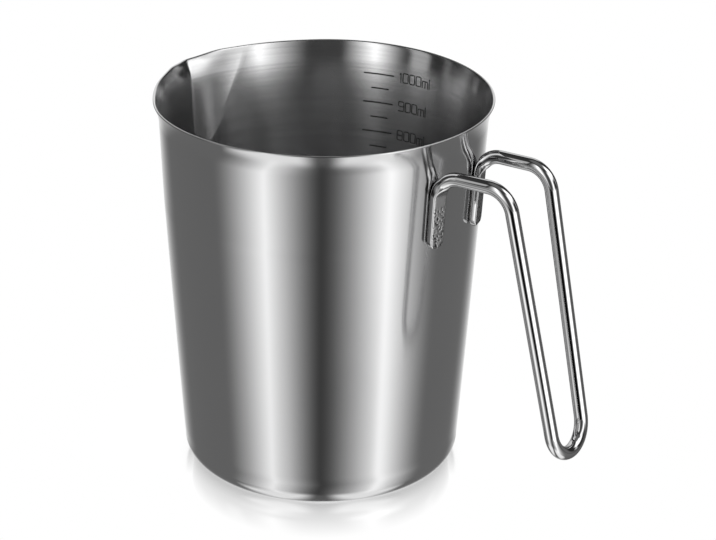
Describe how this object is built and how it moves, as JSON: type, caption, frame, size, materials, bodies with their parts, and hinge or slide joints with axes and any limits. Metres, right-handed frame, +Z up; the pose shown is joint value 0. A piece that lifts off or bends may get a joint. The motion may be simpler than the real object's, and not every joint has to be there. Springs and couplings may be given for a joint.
{
  "type": "measuring jug",
  "caption": "Tapered stainless steel measuring jug with a flared lip, a pressed V spout, a scale inside and a bent wire handle welded to the wall.",
  "frame": {"origin": "centre of the flat underside of the base, on the table", "axes": "+Z up along the cup's axis, +X from the cup towards the handle, the spout near -X"},
  "size_m": [0.1674, 0.1166, 0.1331],
  "materials": {
    "cup_steel": "polished stainless sheet with fine lines round the cup",
    "wire_steel": "bright polished stainless wire",
    "weld_metal": "rough grey weld metal"
  },
  "bodies": {
    "root": {"cup_shell": "cup_steel", "handle_wire": "wire_steel", "left_weld": "weld_metal", "right_weld": "weld_metal"}
  },
  "joints": []
}
